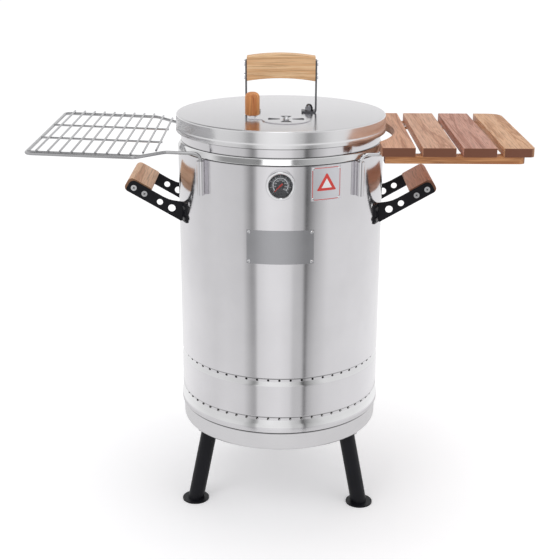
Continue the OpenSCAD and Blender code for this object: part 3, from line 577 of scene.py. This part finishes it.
def open_vents(b, low_ring, high_ring):
    """Fills the gaps between two rings, except for a round vent in the middle of each.

    Known fault: in the lower row a rounding error gives each circle's first point an angle just
    under a whole turn, so that some faces lie across the vent.
    """
    z0, z1 = low_ring[0].co.z, high_ring[0].co.z
    r = GROOVE_R * MM
    for vent in range(VENTS):
        k = vent * PER_VENT
        near = [(k - 1) % AROUND_STEPS, k, (k + 1) % AROUND_STEPS]
        border = [low_ring[q] for q in near] + [high_ring[q] for q in reversed(near)]
        mid = 2 * math.pi * k / AROUND_STEPS
        circle = []
        for s in range(VENT_SIDES):
            a = 2 * math.pi * s / VENT_SIDES
            across, up = VENT_R * MM * math.cos(a), VENT_R * MM * math.sin(a)
            circle.append(b.verts.new(polar(r, mid + across / r, (z0 + z1) / 2 + up)))

        def around(vert):
            """The angle of a vertex about the middle of its vent."""
            x, y, z = vert.co
            turn = math.atan2(x, -y) - mid
            turn = (turn + math.pi) % (2 * math.pi) - math.pi
            return math.atan2(z - (z0 + z1) / 2, turn * r) % (2 * math.pi)

        border.sort(key=around)
        ia = ib = 0
        while ia < len(border) or ib < len(circle):
            ta = around(border[ia]) if ia < len(border) else math.inf
            tb = around(circle[ib]) if ib < len(circle) else math.inf
            a0, b0 = border[ia - 1], circle[ib - 1]
            if ta <= tb:
                b.faces.new([a0, border[ia], b0])
                ia += 1
            else:
                b.faces.new([a0, circle[ib], b0])
                ib += 1


def drum():
    b = bmesh.new()
    lower, upper = VENT_ROWS

    def into(row):
        return [(DRUM_R, row - GROOVE_START), (GROOVE_R, row - GROOVE_FLOOR), (GROOVE_R, row - VENT_BAND)]

    def out_of(row):
        return [(GROOVE_R, row + VENT_BAND), (GROOVE_R, row + GROOVE_FLOOR), (DRUM_R, row + GROOVE_END)]

    outline = filleted(FOOT + into(lower))[:-1]
    gaps = [len(outline) - 1]
    outline += filleted(out_of(lower) + into(upper))[1:-1]
    gaps.append(len(outline) - 1)
    outline += filleted(out_of(upper) + SHOULDER)[1:]

    def is_vent(i, k):
        return i in gaps and k % PER_VENT in (PER_VENT - 1, 0)

    rings = lathed(b, outline, skip=is_vent)
    for i in gaps:
        open_vents(b, rings[i], rings[i + 1])
    piece = sheet_piece(b, "drum_sheet", "drum", "drum_steel", "drum_shell")
    piece.data.materials.append(looks["lit_slope_steel"])
    # Upward slopes take the lighter steel: a painted highlight.
    for face in piece.data.polygons:
        if face.material_index == OWN and LIT_SLOPES[0] < face.normal.z < LIT_SLOPES[1]:
            face.material_index = THIRD


def drum_rim():
    """The rolled top edge of the drum."""
    b = bmesh.new()
    lathed(b, arc(195.9, 788, 2.5, 0, 360, 12))
    bmesh.ops.remove_doubles(b, verts=b.verts, dist=1e-6)
    bmesh.ops.recalc_face_normals(b, faces=b.faces)
    mesh = mesh_of(b, "drum_rim")
    smooth(mesh, 60)
    shown("drum_rim", mesh, "drum", "stainless")


def base_pan():
    """A flat middle, a shallow cone that slopes down to it, a rounded corner and a tall edge."""
    b = bmesh.new()
    slope = 12.7
    corner = arc(191, 170, 7, slope - 90, 0, 10)
    low_r, low_z = 192.54, 163.17
    profile = [(0, 128.8), (20, 128.8), (40, 128.8), (60, 133.3)]
    for r in (110, 185):
        profile.append((r, low_z - (low_r - r) * math.tan(math.radians(slope))))
    profile += corner + [(198.1, 173), (199.3, 214), (199.4, 216)]
    lathed(b, profile)
    bmesh.ops.remove_doubles(b, verts=b.verts, dist=1e-6)
    sheet_piece(b, "base_pan_sheet", "base", "pan_steel", "base_pan")


def sector(middle, inner=12.0, outer=34.0, half=19.0, steps=10):
    """Outline of one damper opening, in millimetres."""
    span = (middle - half, middle + half, steps)
    return arc(*DAMPER, outer, *span) + arc(*DAMPER, inner, *span)[::-1]


def flat_top(b, loops):
    """A flat face inside the first loop of vertices and outside the others."""
    edges = []
    for loop in loops:
        for v, w in zip(loop, loop[1:] + loop[:1]):
            edges.append(b.edges.get((v, w)) or b.edges.new((v, w)))
    bmesh.ops.triangle_fill(b, use_beauty=True, edges=edges, normal=(0, 0, 1))


def lid():
    b = bmesh.new()
    edge_r = 3
    profile = [(203.6, 760.3), (203.6, 764), (203.5, 767.0), (203.3, 768.2), (203, 769.4)]
    profile += [(203, 771), (203, 787.5)]
    profile += arc(200, LID_TOP - edge_r, edge_r, 0, 90, 8) + [(199, LID_TOP)]
    rings = lathed(b, profile)
    holes = []
    for middle in (45, 135, 225, 315):
        holes.append([b.verts.new((x * MM, y * MM, LID_TOP * MM)) for x, y in sector(middle)])
    flat_top(b, [rings[-1]] + holes)
    # The skirt takes the lightened steel, a painted highlight.
    piece = sheet_piece(b, "lid_sheet", "lid", "lit_lid_side", "lid_shell", LID_SHEET)
    piece.data.materials.append(looks["lid_top"])
    level = 0.98
    for face in piece.data.polygons:
        if face.normal.z > level and face.material_index == OWN:
            face.material_index = THIRD
        face.use_smooth = abs(face.normal.z) < level


drum()
drum_rim()
base_pan()
lid()

# ---------------------------------------------------------------- CAD nodes, refined
as_modelled = (
    "leg_front_left",
    "leg_front_right",
    "leg_back",
    "leg_bolts",
    "leg_nuts",
    "shelf_sleeves",
    "inner_ledges",
    "left_front_bracket",
    "left_back_bracket",
    "right_front_bracket",
    "right_back_bracket",
    "grip_screws",
    "bracket_nuts",
    "thermometer_case",
    "thermometer_bezel",
    "thermometer_dial",
    "thermometer_lens",
    "thermometer_stem",
    "thermometer_nut",
    "thermometer_needle",
    "warning_plate",
    "name_plate",
    "plate_rivets",
    "lid_strap_left",
    "lid_strap_right",
    "lid_grip_screws",
    "lid_bolts",
    "damper_rivet",
    "damper_disc",
    "damper_stud",
    "table_rods",
    "table_rod_clips",
    "table_screws",
    "water_pan",
    "cooking_grate",
    "charcoal_basket",
    "fire_grate",
)
rounded = {"leg_nuts": 0.0003, "lid_strap_left": 0.0004, "lid_strap_right": 0.0004}
BRACKET_ROUND = 0.0007
BOARD_ROUND = 0.0026
for node in as_modelled:
    width = BRACKET_ROUND if node.endswith("_bracket") else rounded.get(node, 0.0)
    refined(node, None, width)
refined("damper_knob", "knob_wood")
refined("lid_acorn_nuts", "nut_chrome")
refined("bracket_bolts", "foot_coat")
for node in ("rack_frame", "rack_cross_wires", "rack_wires"):
    refined(node, "rack_wire", 0.0, 40)
boards = {
    "left_grip": "left_wood",
    "right_grip": "right_wood",
    "lid_grip": "pale_oak",
    "table_slat_1": "slat_1",
    "table_slat_2": "slat_2",
    "table_slat_3": "slat_3",
    "table_slat_4": "slat_4",
    "table_batten_front": "batten",
    "table_batten_back": "batten",
}
for node, look in boards.items():
    refined(node, look, BOARD_ROUND, 28, 3)


# ---------------------------------------------------------------- marks, in millimetres
def mark(b, name, look, thick):
    """Flat faces made into a thin piece of the drum, `thick` millimetres through."""
    piece = shown(name, mesh_of(b, name), "drum", look)
    thickened(piece, "body", thick, 0)


DIAL_Z = 0.695
DIAL_FACE = -0.2051
SCALE_FROM, SCALE_SWEEP = 225.0, 270.0
RING_IN, RING_OUT = 12.9, 14.1
TICK_FROM, TICK_TO, LONG_TICK_TO = 14.8, 16.8, 19.6
TICK_W, LONG_TICK_W = 0.22, 0.42
TICKS, TICKS_PER_LONG = 40, 5
NUMBERS, NUMBER_STEP, NUMBER_R, NUMBER_SIZE = 9, 50, 9.9, 3.6


def on_dial(r, angle):
    a = math.radians(angle)
    return (r * MM * math.cos(a), DIAL_FACE, DIAL_Z + r * MM * math.sin(a))


def on_scale(share):
    """The dial's angle at this share of its scale."""
    return SCALE_FROM - SCALE_SWEEP * share


def dial_scale():
    """The ring and ticks of the thermometer's scale."""
    b = bmesh.new()

    def patch(corners):
        b.faces.new([b.verts.new(on_dial(r, a)) for r, a in corners])

    steps = 90
    for k in range(steps):
        a0, a1 = on_scale(k / steps), on_scale((k + 1) / steps)
        patch([(RING_IN, a0), (RING_OUT, a0), (RING_OUT, a1), (RING_IN, a1)])
    for k in range(TICKS + 1):
        a = on_scale(k / TICKS)
        is_long = k % TICKS_PER_LONG == 0
        end = LONG_TICK_TO if is_long else TICK_TO
        half = (LONG_TICK_W if is_long else TICK_W) / 2
        turn0, turn1 = math.degrees(half / TICK_FROM), math.degrees(half / end)
        patch([(TICK_FROM, a + turn0), (end, a + turn1), (end, a - turn1), (TICK_FROM, a - turn0)])
    mark(b, "dial_scale", "scale_white", 0.15)


def dial_number(k):
    words = bpy.data.curves.new("number", "FONT")
    words.body = str(NUMBER_STEP * k)
    words.size = NUMBER_SIZE * MM
    words.align_x = "CENTER"
    words.align_y = "CENTER"
    words.extrude = 0.06 * MM
    text = bpy.data.objects.new("number", words)
    scene.collection.objects.link(text)
    bpy.context.view_layer.update()
    whole = text.evaluated_get(bpy.context.evaluated_depsgraph_get())
    shape = bpy.data.meshes.new_from_object(whole)
    bpy.data.objects.remove(text)
    place = on_dial(NUMBER_R, on_scale(k / (NUMBERS - 1)))
    shape.transform(Matrix.Translation(place) @ Matrix.Rotation(math.radians(90), 4, "X"))
    shown("dial_number_%d" % k, shape, "drum", "scale_white")


dial_scale()
for k in range(NUMBERS):
    dial_number(k)

PLATE_TURN = math.radians(24.7)
PLATE_Z = 0.694
PLATE_FACE, INSET_FACE = 200.92, 201.06
BENDS, BEND_STEP = 10, 3.1


def decal(name, polygons, radius, look):
    """Thin marks bent round the drum: polygons of (across, up) about the middle of the plate."""
    b = bmesh.new()
    for points in polygons:
        b.faces.new([b.verts.new((u * MM, 0, v * MM)) for u, v in points])
    for k in range(-BENDS, BENDS + 1):
        bmesh.ops.bisect_plane(
            b,
            geom=b.verts[:] + b.edges[:] + b.faces[:],
            plane_co=(BEND_STEP * k * MM, 0, 0),
            plane_no=(1, 0, 0),
        )
    for v in b.verts:
        v.co = polar(radius * MM, PLATE_TURN + v.co.x / (radius * MM), PLATE_Z + v.co.z)
    mark(b, name, look, 0.12)


def border(w, h, t):
    """Four strips, t wide, inside a rectangle that reaches w to each side and h up and down."""
    return [
        [(-w, h - t), (w, h - t), (w, h), (-w, h)],
        [(-w, -h), (w, -h), (w, -h + t), (-w, -h + t)],
        [(-w, -h + t), (-w + t, -h + t), (-w + t, h - t), (-w, h - t)],
        [(w - t, -h + t), (w, -h + t), (w, h - t), (w - t, h - t)],
    ]


triangle = [(-18, -13), (18, -13), (19, -11.4), (1.2, 18.4), (-1.2, 18.4), (-19, -11.4)]
inset = [(-10.5, -8), (10.5, -8), (0, 9.5)]
decal("plate_border", border(28.4, 29.9, 1.2), PLATE_FACE, "border_red")
decal("plate_triangle", [triangle], PLATE_FACE, "border_red")
decal("plate_inset", [inset], INSET_FACE, "scale_white")

ARM_ROOT = (192.5, 592.5)
ARM_RISE = math.radians(30)
ARM_SCREWS = (86, 109)
SCREW_OFF = 12.3
SCREW_FACE = 77.06
CROSS_TURN = 0.5
CROSS = [(-2.6, -0.55), (2.6, -0.55), (2.6, 0.55), (-2.6, 0.55)]


def recess_shade_crosses():
    """A black cross on the head of each grip screw, on the outer sides of the arms: painted shade in place
    of the cross recess.
    """
    b = bmesh.new()
    cos, sin = math.cos(ARM_RISE), math.sin(ARM_RISE)

    def bar(side, out, along, turn, lift):
        """One bar of the cross, `along` the arm from its root, lifted off the other bar."""
        x = side * (ARM_ROOT[0] + along * cos - SCREW_OFF * sin)
        z = ARM_ROOT[1] + along * sin + SCREW_OFF * cos
        c, t = math.cos(turn), math.sin(turn)
        corners = []
        for a, w in CROSS:
            place = (x + a * c - w * t, out * (SCREW_FACE + lift), z + a * t + w * c)
            corners.append(b.verts.new(MM * Vector(place)))
        b.faces.new(corners[::-out])

    for side in (-1, 1):
        for out in (-1, 1):
            for along in ARM_SCREWS:
                bar(side, out, along, CROSS_TURN, 0.0)
                bar(side, out, along, CROSS_TURN + math.pi / 2, 0.01)
    mark(b, "recess_shade_crosses", "black_coat", 0.1)


recess_shade_crosses()

# ---------------------------------------------------------------- studio
FLOOR = 30.0
WALL_R = 0.62
WALL_LOW, WALL_HIGH = -0.05, 2.2
MIRRORED = ("Is Glossy Ray", "Is Transmission Ray")


def staged(mesh):
    """Puts a mesh in the scene as part of the studio, with a cleared material of its own.

    Returns the object, the material's tree, and where its shader goes.
    """
    obj = bpy.data.objects.new(mesh.name, mesh)
    scene.collection.objects.link(obj)
    m = bpy.data.materials.new(mesh.name)
    mesh.materials.append(m)
    t = Tree(m, clear=True)
    return obj, t, t.make("ShaderNodeOutputMaterial").inputs["Surface"]


def floor():
    mesh = bpy.data.meshes.new("floor")
    s = FLOOR
    mesh.from_pydata([(-s, -s, 0), (s, -s, 0), (s, s, 0), (-s, s, 0)], [], [(0, 1, 2, 3)])
    _, t, surface = staged(mesh)
    # The camera sees it whiter away from the object, so that only the object's own shadow shows.
    far = t.measure("LENGTH", t.geometry("Position"))
    glow = t.closure("Emission", Strength=t.ranged(far, 0.2, 0.42, 0.22, 0.75))
    seen = t.added(t.closure("BsdfDiffuse", Color=(0.97, 0.965, 0.98, 1)), glow)
    # Metal and glass see a floor with more of its own shade.
    dim = t.closure("Emission", Strength=0.30)
    mirrored = t.added(t.closure("BsdfDiffuse", Color=grey(0.55)), dim)
    lit = t.closure("BsdfDiffuse", Color=grey(0.85))
    unseen = t.mixed(t.any_ray(*MIRRORED), lit, mirrored)
    t.link(t.mixed(t.any_ray("Is Camera Ray"), unseen, seen), surface)


# The studio's lit walls, as the drum shows them: (side angle on the drum in degrees, brightness of
# the drum there near its foot, and from mid height up). The brightnesses are screen levels.
WALLS = (
    (-100, 226, 224),
    (-65, 226, 212),
    (-44, 208, 199),
    (-38, 204, 203),
    (-30, 209, 198),
    (-20, 203, 192),
    (-15, 163, 120),
    (-13, 158, 165),
    (-12.2, 206, 206),
    (-6, 215, 222),
    (0, 219, 218),
    (5.5, 208, 210),
    (7.2, 186, 190),
    (12.0, 186, 172),
    (13.6, 92, 60),
    (15.0, 168, 108),
    (19, 192, 165),
    (26, 208, 205),
    (45, 216, 208),
    (65, 227, 212),
    (100, 230, 226),
)
REFLECTS = 0.80
# Heights over which the wall goes from one look to the next.
RISE = (0.18, 0.55)
OVER_DRUM = (0.74, 0.84)
OVER_LID = (0.8, 1.05)
HIGH_UP = (1.06, 1.12)
# What the lid's flat top shows, from low to high, and a bright softbox high in front, which the
# drum's shoulder shows, as (side angle, brightness).
LID_SEES = [(0.0, grey(0.95)), (0.3, grey(0.92)), (0.75, grey(0.6)), (1, grey(0.8))]
SOFTBOX = ((-20, 0.30), (-13, 0.25), (-11, 1.5), (6, 1.5), (8, 0.25), (22, 0.5), (50, 0.7))


def wall_place(angle):
    """Share of the way round the studio wall that the drum reflects at this side angle."""
    return 0.5 + angle * (1.735 + 0.00113 * abs(angle)) / 360


def studio_wall():
    b = bmesh.new()
    lathed(b, [(WALL_R / MM, WALL_LOW / MM), (WALL_R / MM, WALL_HIGH / MM)], 128)
    wall, t, surface = staged(mesh_of(b, "studio_wall"))
    wall.visible_camera = False
    wall.visible_diffuse = False
    wall.visible_transmission = False
    wall.visible_shadow = False
    place = t.parts(t.geometry("Position"))
    turn = t.calc("ARCTAN2", place["X"], t.calc("MULTIPLY", place["Y"], -1))
    share = t.ranged(turn, 0, 1, -math.pi, math.pi)

    def between(heights):
        return t.ranged(place["Z"], 0, 1, *heights)

    def band(column):
        stops = [(wall_place(row[0]), grey(linear(row[column]) / REFLECTS)) for row in WALLS]
        return t.ramp(share, [stop for stop in stops if 0 <= stop[0] <= 1])

    sides = t.blend(between(RISE), band(1), band(2))
    above = t.blend(between(OVER_DRUM), sides, t.ramp(between(OVER_LID), LID_SEES))
    softbox = t.ramp(share, [(wall_place(angle), grey(level)) for angle, level in SOFTBOX])
    whole = t.blend(between(HIGH_UP), above, softbox)
    t.link(t.closure("Emission", Color=whole), surface)


def world():
    """Soft light on the object, under a plain white that the camera, metal and glass see."""
    w = bpy.data.worlds.new("studio")
    scene.world = w
    t = Tree(w, clear=True)
    soft = t.closure("Background", Color=grey(0.8), Strength=0.80)
    white = t.closure("Background", Color=grey(1), Strength=1.0)
    whole = t.mixed(t.any_ray("Is Camera Ray", *MIRRORED), soft, white)
    t.link(whole, t.make("ShaderNodeOutputWorld").inputs["Surface"])


def lamp(name, place, target_z, size, watts):
    """A square lamp aimed at this height on the object's axis, not seen in reflections."""
    data = bpy.data.lights.new(name, "AREA")
    data.size = size
    data.energy = watts
    obj = bpy.data.objects.new(name, data)
    scene.collection.objects.link(obj)
    obj.location = place
    aim = Vector((0, 0, target_z)) - Vector(place)
    obj.rotation_euler = aim.to_track_quat("-Z", "Y").to_euler()
    obj.visible_glossy = False
    obj.visible_camera = False


floor()
studio_wall()
world()
lamp("key", (-1.4, -1.6, 2.6), 0.5, 1.6, 13)
lamp("fill", (1.8, -1.2, 1.8), 0.5, 1.6, 6)
lamp("top", (0.2, 0.6, 2.9), 0.6, 1.8, 7)
